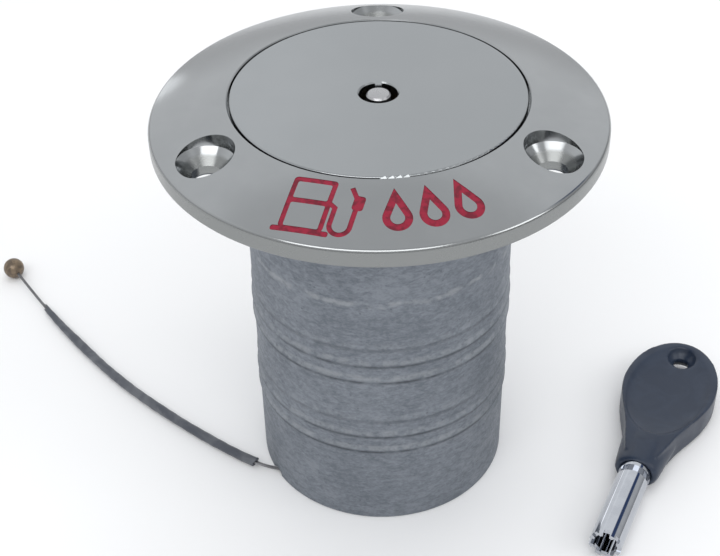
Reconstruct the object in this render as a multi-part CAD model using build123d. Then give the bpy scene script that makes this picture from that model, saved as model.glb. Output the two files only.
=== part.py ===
"""Deck fill cap: a flush locking fuel filler with its cap, key and leash, in millimetres.

Z = 0 is the flange's underside, which beds on the deck, on the axis of the hose neck. +Z is up, out
of the deck, and the fuel mark is on the -Y side. The neck stands on its lower end. The key and the
leash lie beside it on the same surface. The lock is at rest unlocked, with its pins at the shear line.
"""

from build123d import *
import math
import os

# ---------------------------------------------------------------- driving dimensions
hose_bore = 51.0           # inside diameter of the 2 inch fill hose that the neck takes
flange_diameter = 84.0
flange_height = 7.5        # underside to the top of the cap
neck_drop = 78.0           # underside to the lower end of the neck
screw_circle = 69.2
screw_hole_diameter = 5.5  # countersunk M5
cap_diameter = 54.1
key_length = 62.0
key_width = 20.0

# ---------------------------------------------------------------- casting
neck_r = hose_bore / 2
neck_wall = 2.5
bore_r = neck_r - neck_wall
flange_r = flange_diameter / 2
rim_height = 3.6
rim_round = 0.9
rim_tilt = 20.2            # slope of the crown where it runs into the rim's round, degrees
recess_r = cap_diameter / 2 + 0.35
lip_chamfer = 0.2
recess_floor = 4.0
dome_bulge = 0.28
floor_z = -neck_drop
countersink_r = 5.3
seat_count = 3
ridge_pitch = 4.0
ridge_heights = (0.16, 0.34, 0.34)
ridge_band_tops = (-32.1, -50.5)
ridge_rise = 1.7
ridge_lip = 0.16
ledge_under = -30.0
ledge_thickness = 4.0
ledge_r = 18.5
ledge_gap_width = 14.0
mark_depth = 0.5
mark_recess = 0.1
stroke = 0.85
drop_stroke = 1.3
pump_angle = -106.0
pump_r = 34.3
drop_angles = (-85.4, -75.6, -65.8)
drop_circle_r = 34.0

# ---------------------------------------------------------------- cap
lid_r = cap_diameter / 2
spigot_r = bore_r - 0.4
spigot_inner_r = 19.0
spigot_end = -5.0
seal_section = 2.4
seal_z = -2.0
boss_r = 12.2
boss_end = -3.0
socket_r = 3.55
tab_width = 1.2
tab_reach = 0.95
tab_thickness = 1.2

# ---------------------------------------------------------------- lock
thread_r = 8.5
barrel_r = 8.0
nut_flats = 22.0
nut_height = 5.0
thread_end = boss_end - nut_height - 1.5
post_r = 2.25
post_top = flange_height - 0.2
insertion = 20.0
keyway_floor = flange_height - insertion - 0.55
plate_r = 6.0
running_gap = 0.05
plate_thickness = 4.0
block_height = 7.0
clip_thickness = 1.0
pin_r = 0.5
pin_hole_r = 0.55
pin_circle_r = 2.85
pin_slots = 8
bitting = (0.4, 1.0, 0.7, 0.2, 0.9, 0.5, 0.8)
driver_length = 3.0
spindle_r = 1.9
square_size = 2.7
latch_length = 44.0
latch_width = 11.0
latch_thickness = 3.0
latch_top = ledge_under - 0.4
washer_r = 4.0
washer_thickness = 0.8
latch_screw_r = 1.0
rib_angle = 180.0          # the drive rib points to -X when unlocked, and to the tab when locked

# ---------------------------------------------------------------- leash
leash_angle = 216.0        # where the leash hangs in the neck
wire_d = 0.7
sleeve_d = 2.2
sleeve_bore = 0.9
ball_r = 2.5
lug_r = bore_r - 1.8       # distance of the lug's hole from the axis
wire_z = floor_z + 0.55
sleeve_z = floor_z + sleeve_d / 2 + 0.05
lug_x = lug_r * math.cos(math.radians(leash_angle))
lug_y = lug_r * math.sin(math.radians(leash_angle))
leash_route = [
    (lug_x, lug_y, floor_z + 5.7),
    (lug_x, lug_y, wire_z),
    (-24.7, -12.3, sleeve_z),
    (-35.1, -5.6, sleeve_z),
    (-47.4, 4.0, sleeve_z),
    (-59.8, 15.2, sleeve_z),
    (-71.3, 28.4, sleeve_z),
    (-82.0, 42.0, sleeve_z),
    (-91.9, 55.7, floor_z + ball_r),
]

# ---------------------------------------------------------------- key
shank_r = 3.3
shank_bore_r = 2.4
shank_length = 21.0
slit_width = 1.5
shank_embed = 8.5          # length of the tube inside the moulded head
key_half_height = 3.9
bow_half_height = 3.3
key_tip = (43.4, -36.6)
key_heading = 65.2         # direction from the key's tip to its head, degrees from +X


def disc(radius, low, high):
    """Plain cylinder about Z between two heights."""
    return Pos(0, 0, low) * Cylinder(radius, high - low, align=(Align.CENTER, Align.CENTER, Align.MIN))


def tube(outer, inner, low, high):
    """Ring about Z between two heights."""
    return disc(outer, low, high) - disc(inner, low - 1, high + 1)


def turned(*lines):
    """Solid of revolution about Z from a closed outline in the XZ plane."""
    return revolve(Plane.XZ * make_face(Curve() + list(lines)), Axis.Z)


def turned_points(points):
    """Solid of revolution about Z from the corners of its outline."""
    return turned(Polyline(*points, close=True))


def at_angle(degrees, radius=0.0, height=0.0):
    """Place on a circle about Z, with local X pointing outwards."""
    return Rot(0, 0, degrees) * Pos(radius, 0, height)


# ---------------------------------------------------------------- casting
def rim_point(degrees):
    """A point of the rim's round, by its angle above the horizontal."""
    angle = math.radians(degrees)
    middle_z = rim_height - rim_round * math.cos(math.radians(rim_tilt))
    return (flange_r - rim_round * (1 - math.cos(angle)), middle_z + rim_round * math.sin(angle))


dome_in = (recess_r + lip_chamfer, flange_height)
dome_out = rim_point(90 - rim_tilt)
dome_mid = ((dome_in[0] + dome_out[0]) / 2, (dome_in[1] + dome_out[1]) / 2 + dome_bulge)


def shifted(point, drop):
    """A point of the outline, lowered."""
    return (point[0], point[1] - drop)


def dome_arc(drop=0.0):
    """The flange's crowned top, lowered by a given depth."""
    return ThreePointArc(shifted(dome_in, drop), shifted(dome_mid, drop), shifted(dome_out, drop))


def ridge_lips():
    """Height and size of each raised ring's lip on the neck, from the top down."""
    for top in ridge_band_tops:
        for index, height in enumerate(ridge_heights):
            yield top - index * ridge_pitch, height


def casting_blank():
    """Flange, neck and raised hose rings as one turned outline."""
    root_r = 1.2
    foot_round = 0.5
    rim_foot = (flange_r - foot_round, 0.0)
    rim_low = (flange_r, foot_round)
    rim_high = rim_point(0)
    bulge = 1 - math.sqrt(0.5)
    foot_mid = (flange_r - bulge * foot_round, bulge * foot_round)
    lines = [dome_arc(), ThreePointArc(dome_out, rim_point(45 - rim_tilt / 2), rim_high)]
    lines += [Line(rim_high, rim_low), ThreePointArc(rim_low, foot_mid, rim_foot)]
    here = (neck_r + root_r, 0.0)
    lines.append(Line(rim_foot, here))
    bend = neck_r + root_r - root_r / math.sqrt(2)
    lines.append(ThreePointArc(here, (bend, -root_r + root_r / math.sqrt(2)), (neck_r, -root_r)))
    here = (neck_r, -root_r)
    for z, height in ridge_lips():
        lip = (neck_r + height, z + ridge_lip)
        lines.append(Line(here, (neck_r, z + ridge_rise)))
        lines.append(ThreePointArc((neck_r, z + ridge_rise), (neck_r + height / 4, z + ridge_rise / 2), lip))
        lines.append(ThreePointArc(lip, (neck_r + height - 0.04, z + 0.03), (neck_r + height - 0.12, z)))
        here = (neck_r, z)
        lines.append(Line((neck_r + height - 0.12, z), here))
    cut = 0.3
    corners = [here, (neck_r, floor_z + cut), (neck_r - cut, floor_z)]
    corners += [(bore_r + cut, floor_z), (bore_r, floor_z + cut), (bore_r, recess_floor - cut)]
    corners += [(bore_r + cut, recess_floor), (recess_r, recess_floor), (recess_r, flange_height - lip_chamfer)]
    corners.append(dome_in)
    return turned(*lines, Polyline(*corners))


def latch_ledge():
    """Inner ledge for the latch bar, in two parts with a gap on each side for the bar to pass."""
    top = ledge_under + ledge_thickness
    slope = bore_r - ledge_r
    embed = bore_r + 1.0
    corners = [(ledge_r, ledge_under), (embed, ledge_under), (embed, top + slope / 2), (bore_r, top + slope / 2)]
    ring = turned_points(corners + [(ledge_r, top - 0.5)])
    return ring - Pos(0, 0, ledge_under) * Box(4 * flange_r, ledge_gap_width, 30)


def leash_lug():
    """Small lug inside the neck that the leash hangs from."""
    end_wall, embed, width, thickness, middle_z = 1.9, 0.6, 4.6, 2.2, floor_z + 4.1
    reach = bore_r - lug_r + end_wall
    return at_angle(leash_angle, bore_r + embed - reach / 2, middle_z) * Box(reach, width, thickness)


def leash_notch():
    """Half-round notch in the neck's lower edge, along the wire where it leaves."""
    notch_r, length = 1.6, 16.0
    start, end = leash_route[1], leash_route[2]
    heading = math.degrees(math.atan2(end[1] - start[1], end[0] - start[0]))
    return Pos(start[0], start[1], floor_z) * Rot(0, 0, heading) * Rot(0, 90, 0) * Cylinder(notch_r, length)


def droplet(width, height, line):
    """Outline of a fuel drop."""
    radius = width / 2
    apex = height - radius
    lean = math.acos(radius / apex)
    side = (radius * math.sin(lean), radius * math.cos(lean))
    left = (-side[0], side[1])
    arc = ThreePointArc(side, (0, -radius), left)
    shape = make_face(Curve() + [Line((0, apex), side), arc, Line(left, (0, apex))])
    return Pos(0, radius - height / 2) * (shape - offset(shape, amount=-line))


def pump():
    """Outline of a fuel pump with its hose and nozzle."""
    wide, tall = 7.6, 10.4
    case = Pos(-2.4, 0.4) * RectangleRounded(wide, tall, 0.7)
    window = Pos(-2.4, 2.9) * RectangleRounded(wide - 2 * stroke, 3.4, 0.3)
    panel = Pos(-2.4, -2.1) * RectangleRounded(wide - 2 * stroke, 4.6, 0.3)
    base = Pos(-2.4, -5.05) * RectangleRounded(9.8, 1.0, 0.4)
    outlet = Line((1.0, 1.0), (2.2, 0.2))
    fall = Line((2.2, 0.2), (2.2, -3.0))
    bend = ThreePointArc((2.2, -3.0), (3.9, -4.7), (5.6, -3.0))
    riser = Line((5.6, -3.0), (5.6, 2.2))
    nozzle = Line((5.6, 2.2), (3.9, 4.8))
    hose = trace(Curve() + [outlet, fall, bend, riser, nozzle], line_width=stroke)
    grip = Pos(5.75, 1.9) * RectangleRounded(1.9, 3.0, 0.6)
    return (case - window - panel) + base + hose + grip


def mark_prism():
    """Upright prism through the pump and the three drops, standing on the flange's front."""
    drop = droplet(5.0, 8.6, drop_stroke)
    place = [(pump(), pump_angle, pump_r)] + [(drop, angle, drop_circle_r) for angle in drop_angles]
    solids = [
        at_angle(angle, radius) * Rot(0, 0, 90) * extrude(shape, amount=3 * flange_height)
        for shape, angle, radius in place
    ]
    return Part() + solids


def skin(low_drop, high_drop):
    """Shell of revolution between two copies of the flange's crown."""
    inner = Line(shifted(dome_in, low_drop), shifted(dome_in, high_drop))
    outer = Line(shifted(dome_out, high_drop), shifted(dome_out, low_drop))
    return turned(dome_arc(low_drop), outer, dome_arc(high_drop), inner)


def filler_body(mark):
    """The one-piece casting: polished flange with its screw holes and mark, and the hose neck."""
    body = casting_blank() + latch_ledge() + leash_lug()
    screw_hole = disc(screw_hole_diameter / 2, -5, 20)
    hole_r = screw_hole_diameter / 2
    countersink_low = 1.8
    cone = Pos(0, 0, countersink_low) * Cone(
        hole_r, countersink_r, countersink_r - hole_r, align=(Align.CENTER, Align.CENTER, Align.MIN)
    )
    countersink = cone + disc(countersink_r, countersink_low + countersink_r - hole_r, 20)
    for index in range(seat_count):
        spot = at_angle(90 + index * 360 / seat_count, screw_circle / 2)
        body -= spot * (screw_hole + countersink)
    lug_hole = at_angle(leash_angle, lug_r, floor_z + 4) * Cylinder(0.5, 8)
    return body - lug_hole - leash_notch() - mark


# ---------------------------------------------------------------- cap
def cap_lid():
    """Flush lid with its spigot, the lock's boss, the key socket and the guide tab."""
    edge = 0.35
    top = flange_height
    groove_r = spigot_r - seal_section + 0.2
    groove_half = seal_section / 2 + 0.1
    rim_arc = ThreePointArc((lid_r - edge, top), (lid_r - edge * 0.29, top - edge * 0.29), (lid_r, top - edge))
    corners = [(lid_r, top - edge), (lid_r, recess_floor), (spigot_r, recess_floor)]
    corners += [(spigot_r, seal_z + groove_half), (groove_r, seal_z + groove_half)]
    corners += [(groove_r, seal_z - groove_half), (spigot_r, seal_z - groove_half)]
    corners += [(spigot_r, spigot_end + 0.8), (spigot_r - 0.8, spigot_end), (spigot_inner_r, spigot_end)]
    corners += [(spigot_inner_r, recess_floor), (boss_r, recess_floor), (boss_r, boss_end)]
    corners += [(thread_r, boss_end), (thread_r, recess_floor), (socket_r, recess_floor)]
    corners += [(socket_r, top - 0.25), (socket_r + 0.25, top), (lid_r - edge, top)]
    lid = turned(rim_arc, Polyline(*corners))
    tab = Pos(0, socket_r - tab_reach / 2 + 0.2, top - tab_thickness / 2)
    lid += tab * Box(tab_width, tab_reach + 0.4, tab_thickness)
    return lid - clip_spot() * disc(latch_screw_r + 0.1, 0, recess_floor + 2.4)


def clip_spot():
    """Axis of the leash clip's screw under the lid."""
    return at_angle(leash_angle, 14.6)


def cap_seal_ring():
    """O-ring in the spigot's groove."""
    return Pos(0, 0, seal_z) * Torus(spigot_r + 0.2 - seal_section / 2, seal_section / 2)


def leash_clip():
    """Bent clip under the lid with a keyhole for the leash's ball."""
    sheet = 1.2
    foot_in, foot_out, wide = 12.4, 18.2, 8.0
    leg_end = -13.5
    foot = at_angle(leash_angle, (foot_in + foot_out) / 2, recess_floor - sheet / 2)
    foot *= Box(foot_out - foot_in, wide, sheet)
    leg = at_angle(leash_angle, foot_out - sheet / 2, (recess_floor + leg_end) / 2)
    leg *= Box(sheet, wide, recess_floor - leg_end)
    eye = at_angle(leash_angle, foot_out, -7.4) * Rot(0, 90, 0) * Cylinder(ball_r + 0.3, 10)
    slot = at_angle(leash_angle, foot_out, -9.6) * Box(10, 1.2, 4.4)
    return foot + leg - eye - slot - clip_spot() * disc(latch_screw_r + 0.3, -20, 20)


def leash_clip_screw():
    """Pan head screw that holds the leash clip."""
    under = recess_floor - 1.2
    screw = disc(2.3, under - 1.5, under) + disc(latch_screw_r + 0.1, under, recess_floor + 2.3)
    drive = Pos(0, 0, under - 1.5) * (Box(2.6, 0.6, 1.4) + Box(0.6, 2.6, 1.4))
    return clip_spot() * (screw - drive)


# ---------------------------------------------------------------- lock
plate_top = keyway_floor
plate_low = plate_top - plate_thickness
block_top = plate_low - 2 * running_gap
block_low = block_top - block_height
clip_top = block_low - 0.1
housing_end = clip_top - clip_thickness - 1.6
chamber_r = plate_r + running_gap


def pin_places():
    """Angles of the lock's pins: every slot but the one that the drive rib takes."""
    return [rib_angle + 360 / pin_slots * index for index in range(1, pin_slots)]


def lock_housing():
    """Threaded barrel that holds the rotor and the pin block under the lid."""
    shoulder = plate_top + running_gap
    groove = (clip_top + 0.05, clip_top - clip_thickness - 0.05)
    corners = [(socket_r, recess_floor), (thread_r, recess_floor), (thread_r, thread_end)]
    corners += [(barrel_r, thread_end), (barrel_r, housing_end + 0.5), (barrel_r - 0.5, housing_end)]
    corners += [(chamber_r, housing_end), (chamber_r, groove[1]), (chamber_r + 0.6, groove[1])]
    corners += [(chamber_r + 0.6, groove[0]), (chamber_r, groove[0]), (chamber_r, shoulder)]
    return turned_points(corners + [(socket_r, shoulder)])


def housing_nut():
    """Hexagon locknut that clamps the housing against the lid's boss."""
    low = boss_end - nut_height
    hexagon = extrude(RegularPolygon(nut_flats / 2, 6, major_radius=False), amount=nut_height)
    round_off = turned_points(
        [(0, 0), (11.6, 0), (12.7, 1.0), (12.7, nut_height - 1.0), (11.6, nut_height), (0, nut_height)]
    )
    return Pos(0, 0, low) * (hexagon & round_off) - disc(thread_r, low - 1, boss_end + 1)


def pin_block():
    """Fixed block with one blind chamber for each driver pin and spring."""
    block = tube(plate_r, spindle_r + running_gap, block_low, block_top)
    for angle in pin_places():
        block -= at_angle(angle, pin_circle_r) * disc(pin_hole_r, block_low + 0.5, block_top + 1)
    return block


def driver_pins():
    """One driver pin in each chamber, its top at the shear line."""
    pin = disc(pin_r, plate_low - running_gap - driver_length, plate_low - running_gap)
    return Part() + [at_angle(angle, pin_circle_r) * pin for angle in pin_places()]


def pin_springs():
    """One spring under each driver pin, as a plain tube of the coil's size."""
    top = plate_low - running_gap - driver_length
    coil = tube(pin_r - 0.05, pin_r - 0.22, block_low + 0.5, top)
    return Part() + [at_angle(angle, pin_circle_r) * coil for angle in pin_places()]


def block_clip():
    """Internal retaining ring under the pin block."""
    ring = tube(chamber_r + 0.55, chamber_r - 1.3, clip_top - clip_thickness, clip_top)
    return ring - Pos(0, -chamber_r, clip_top) * Box(3.4, 5, 4)


def lock_rotor():
    """Centre post, drive rib, pin plate and spindle in one piece, with a square end for the latch."""
    groove_r = plate_r - 1.1
    groove = (plate_top - 1.3, plate_top - 2.5)
    square_end = latch_top - latch_thickness
    corners = [(0, post_top), (post_r - 0.3, post_top), (post_r, post_top - 0.3), (post_r, plate_top)]
    corners += [(plate_r, plate_top), (plate_r, groove[0]), (groove_r, groove[0])]
    corners += [(groove_r, groove[1]), (plate_r, groove[1]), (plate_r, plate_low)]
    corners += [(spindle_r, plate_low), (spindle_r, latch_top), (0, latch_top)]
    rotor = turned_points(corners)
    rotor += Pos(0, 0, (latch_top + square_end) / 2) * Box(square_size, square_size, latch_thickness)
    rotor += at_angle(rib_angle, post_r + 0.3, plate_top + 2.5) * Box(1.0, 1.2, 5)
    for angle in pin_places():
        rotor -= at_angle(angle, pin_circle_r) * disc(pin_hole_r, plate_low - 0.5, plate_top + 0.01)
    return rotor - disc(latch_screw_r, square_end - 1, square_end + 6.2)


def key_pins():
    """Key pins in the rotor's plate, each as long as the key's bitting asks for."""
    key_end = flange_height - insertion
    pins = [
        at_angle(angle, pin_circle_r) * disc(pin_r, plate_low, key_end + depth - 0.05)
        for angle, depth in zip(pin_places(), bitting)
    ]
    return Part() + pins


def rotor_seal():
    """O-ring in the groove of the rotor's plate."""
    return Pos(0, 0, plate_top - 1.9) * Torus(plate_r - 0.6, 0.5)


def latch_bar():
    """Flat bar whose ends turn under the ledge in the neck."""
    bar = Box(latch_length, latch_width, latch_thickness)
    bar &= Cylinder(latch_length / 2, latch_thickness)
    bar = chamfer(bar.edges().group_by(Axis.Z)[-1], 0.5)
    return Pos(0, 0, latch_top - latch_thickness / 2) * (bar - Box(square_size, square_size, 10))


def latch_washer():
    """Plain washer under the latch screw's head."""
    top = latch_top - latch_thickness
    return tube(washer_r, latch_screw_r + 0.2, top - washer_thickness, top)


def latch_screw():
    """Hexagon socket screw in the spindle's end."""
    seat = latch_top - latch_thickness - washer_thickness
    screw = disc(2.3, seat - 2.4, seat) + disc(latch_screw_r, seat, seat + washer_thickness + 6.0)
    socket = extrude(RegularPolygon(1.2, 6), amount=1.4)
    return screw - Pos(0, 0, seat - 2.4) * socket


# ---------------------------------------------------------------- leash
def bend_radii(points):
    """For each corner, the largest arc that its two runs allow."""
    radii = []
    for before, corner, after in zip(points, points[1:], points[2:]):
        first = Vector(*corner) - Vector(*before)
        second = Vector(*after) - Vector(*corner)
        half_turn = math.radians(first.get_angle(second)) / 2
        radii.append(0.45 * min(first.length, second.length) / math.tan(half_turn))
    return radii


def leash_path():
    """Centre line of the leash: straight runs joined by tangent arcs."""
    return FilletPolyline(*leash_route, radius=bend_radii(leash_route))


def leash_tube(diameter, bore=0.0):
    """Round section swept along the whole leash."""
    path = leash_path()
    section = Circle(diameter / 2)
    if bore:
        section -= Circle(bore / 2)
    start = Plane(origin=path @ 0, z_dir=path % 0)
    return sweep(start * section, path=path)


def along(first, second, distance):
    """Plane across a run of the leash, some way from the run's first point."""
    direction = (Vector(*second) - Vector(*first)).normalized()
    return Plane(origin=Vector(*first) + direction * distance, z_dir=direction)


def leash_sleeve():
    """Soft tube over the middle of the wire."""
    sleeve = leash_tube(sleeve_d, sleeve_bore)
    near = along(leash_route[2], leash_route[3], 2.6)
    far = along(leash_route[6], leash_route[7], 16.6)
    sleeve = split(sleeve, bisect_by=near, keep=Keep.TOP)
    return split(sleeve, bisect_by=far, keep=Keep.BOTTOM)


def leash_ball():
    """Drilled ball on the free end of the wire."""
    end = along(leash_route[-2], leash_route[-1], 0.0)
    end.origin = Vector(*leash_route[-1])
    bore = end * Cylinder(wire_d / 2, 2 * ball_r, align=(Align.CENTER, Align.CENTER, Align.MAX))
    return Pos(*leash_route[-1]) * Sphere(ball_r) - bore


def leash_crimp():
    """Crimped stop above the lug that keeps the wire from pulling through."""
    bottom = floor_z + 5.2
    crimp = tube(1.0, wire_d / 2, bottom, bottom + 2.0)
    return at_angle(leash_angle, lug_r) * crimp


# ---------------------------------------------------------------- key
head_length = key_length - shank_length
bow_reach = 0.37 * head_length
bow_centre = key_length - bow_reach
tip_to_key = Pos(key_tip[0], key_tip[1], floor_z + key_half_height) * Rot(0, 0, key_heading)


def head_outline():
    """Plan outline of the moulded bow: an oval that narrows into the collar."""
    half = key_width / 2
    root, waist = (shank_length + 3.0, 3.4), (shank_length + 8.5, 5.0)
    edge = Line((root[0], 0), root)
    flank = Line(root, waist)
    flare = Spline(waist, (bow_centre, half), tangents=((1, 0.2), (1, 0)), tangent_scalars=(0.9, 1.1))
    crown = EllipticalCenterArc((bow_centre, 0), bow_reach, half, start_angle=0, arc_size=90)
    upper = make_face(Curve() + [edge, flank, flare, crown, Line((root[0], 0), (key_length, 0))])
    return upper + mirror(upper, Plane.XZ)


def key_collar():
    """Round collar on the tube, from its rounded end to where it runs into the bow."""
    sections = (
        (0.0, 3.9, 3.35), (0.3, 4.3, 3.65), (0.9, 4.6, 3.85), (2.0, 4.8, 3.9),
        (7.0, 5.3, 3.9), (10.0, 5.6, 3.7), (13.0, 5.8, 3.2),
    )
    rings = [Plane.YZ.offset(shank_length + x) * Ellipse(wide, high) for x, wide, high in sections]
    return loft(rings, ruled=True)


def key_head():
    """Moulded head with a dished face on each side and a hole for a split ring."""
    rim, dish_depth, dish_start = 1.3, 1.5, shank_length + 9.4
    hole_r, hole_inset, thumb_r = 1.6, 4.9, 3.4
    crown_half_height = 2.7
    blank = extrude(head_outline(), amount=key_half_height, both=True)
    middle = shank_length + 16
    low, high = bow_half_height, crown_half_height
    side = [(shank_length, low), (middle, low), (key_length + 1, high), (key_length + 1, -high)]
    side += [(middle, -low), (shank_length, -low)]
    profile = extrude(Plane.XZ * make_face(Polyline(*side, close=True)), amount=key_width, both=True)
    head = (blank & profile) + key_collar()
    dish_x = (dish_start + key_length - rim) / 2
    dish_reach, dish_half = key_length - rim - dish_x, key_width / 2 - rim
    overlap = 0.05
    wall = extrude(Ellipse(dish_reach - overlap, dish_half - overlap), amount=2)
    dish = scale(Sphere(1.0), by=(dish_reach, dish_half, dish_depth)) + wall
    hole_x = key_length - hole_inset
    scoop = Pos(dish_x, 0, bow_half_height - 0.1) * dish
    scoop += Pos(hole_x, 0, crown_half_height + 0.9) * Sphere(thumb_r)
    head -= scoop
    head -= mirror(scoop, Plane.XY)
    collar_bore = Rot(0, 90, 0) * disc(shank_r, shank_length - 1, shank_length + shank_embed)
    return head - collar_bore - Pos(hole_x, 0, 0) * Cylinder(hole_r, 20)


def key_shank():
    """Slit tube that fits the keyway, with a groove under the collar that clears the tab."""
    length = shank_length + shank_embed
    groove = (insertion - tab_thickness - 0.3, insertion + 0.2)
    shank = tube(shank_r, shank_bore_r, 0, length)
    shank -= Pos(0, shank_r, insertion / 2 - 1) * Box(slit_width, 3, insertion + 2)
    shank -= tube(shank_r + 1, shank_r - 0.85, *groove)
    for index, depth in enumerate(bitting):
        angle = 90 + 360 / pin_slots * (index + 1)
        shank -= at_angle(angle, pin_circle_r + 0.4, 0) * Box(3, 1.3, 2 * depth)
    return Rot(0, 90, 0) * shank


nodes = {}
prism = mark_prism()
nodes["filler_body"] = filler_body(prism & skin(mark_depth, -4.0))
nodes["fuel_mark_inlay"] = prism & skin(mark_depth, mark_recess)
nodes["leash_wire"] = leash_tube(wire_d)
nodes["leash_sleeve"] = leash_sleeve()
nodes["leash_ball"] = leash_ball()
nodes["leash_crimp"] = leash_crimp()
nodes["cap_lid"] = cap_lid()
nodes["cap_seal_ring"] = cap_seal_ring()
nodes["leash_clip"] = leash_clip()
nodes["leash_clip_screw"] = leash_clip_screw()
nodes["lock_housing"] = lock_housing()
nodes["housing_nut"] = housing_nut()
nodes["pin_block"] = pin_block()
nodes["driver_pins"] = driver_pins()
nodes["pin_springs"] = pin_springs()
nodes["block_clip"] = block_clip()
nodes["lock_rotor"] = lock_rotor()
nodes["key_pins"] = key_pins()
nodes["rotor_seal"] = rotor_seal()
nodes["latch_bar"] = latch_bar()
nodes["latch_washer"] = latch_washer()
nodes["latch_screw"] = latch_screw()
nodes["key_head"] = tip_to_key * key_head()
nodes["key_shank"] = tip_to_key * key_shank()

os.makedirs("parts", exist_ok=True)
for name, shape in nodes.items():
    export_step(shape, f"parts/{name}.step")

path_length = leash_path().length
print("leash bend radii", [round(radius, 1) for radius in bend_radii(leash_route)])
print("leash length", round(path_length, 2))
wire_share = nodes["leash_wire"].volume / (math.pi * (wire_d / 2) ** 2 * path_length)
print("wire volume over section times length", round(wire_share, 4))
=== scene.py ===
"""Looks of the deck fill cap: polished flange on a cast hose neck, locking cap, loose key and leash.

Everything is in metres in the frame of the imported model: Z = 0 is the underside of the flange, +Z is up
and the fuel mark is on the -Y side. The neck, the key and the leash stand on one plain floor. Patterns in
the materials are worked out in millimetres.
"""

import bisect
import contextlib
import enum
import logging
import math
from collections.abc import Iterator
from dataclasses import dataclass, field

import bpy
from mathutils import Matrix, Vector


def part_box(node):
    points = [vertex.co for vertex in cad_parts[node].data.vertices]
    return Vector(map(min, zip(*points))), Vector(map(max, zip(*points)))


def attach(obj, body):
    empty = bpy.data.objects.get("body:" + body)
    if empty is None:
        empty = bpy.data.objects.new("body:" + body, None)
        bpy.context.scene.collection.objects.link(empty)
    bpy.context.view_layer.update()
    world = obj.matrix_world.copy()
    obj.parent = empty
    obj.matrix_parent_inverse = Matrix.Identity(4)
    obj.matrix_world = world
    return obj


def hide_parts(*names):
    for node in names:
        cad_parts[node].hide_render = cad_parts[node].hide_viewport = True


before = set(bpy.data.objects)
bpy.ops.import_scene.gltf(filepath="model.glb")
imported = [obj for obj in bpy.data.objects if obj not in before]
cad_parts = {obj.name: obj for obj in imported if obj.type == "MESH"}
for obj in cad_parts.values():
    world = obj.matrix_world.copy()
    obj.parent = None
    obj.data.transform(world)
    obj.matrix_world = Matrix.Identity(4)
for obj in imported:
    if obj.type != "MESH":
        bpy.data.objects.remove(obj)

MM = 0.001
MERGE_GAP = 0.002 * MM
FLAT_ANGLE = math.radians(1.0)
SHARP_ANGLE = math.radians(40)
SMOOTH_ANGLE = math.radians(32)
ROUNDED_SMOOTH_ANGLE = math.radians(35)
BALL_ANGLE = 0.7
WEIGHT_BY_AREA = 50
FULL_TURN = 2 * math.pi
log = logging.getLogger("deck_fill_cap")

Socket = bpy.types.NodeSocket
Piece = bpy.types.Object
Shader = bpy.types.Node


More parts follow.
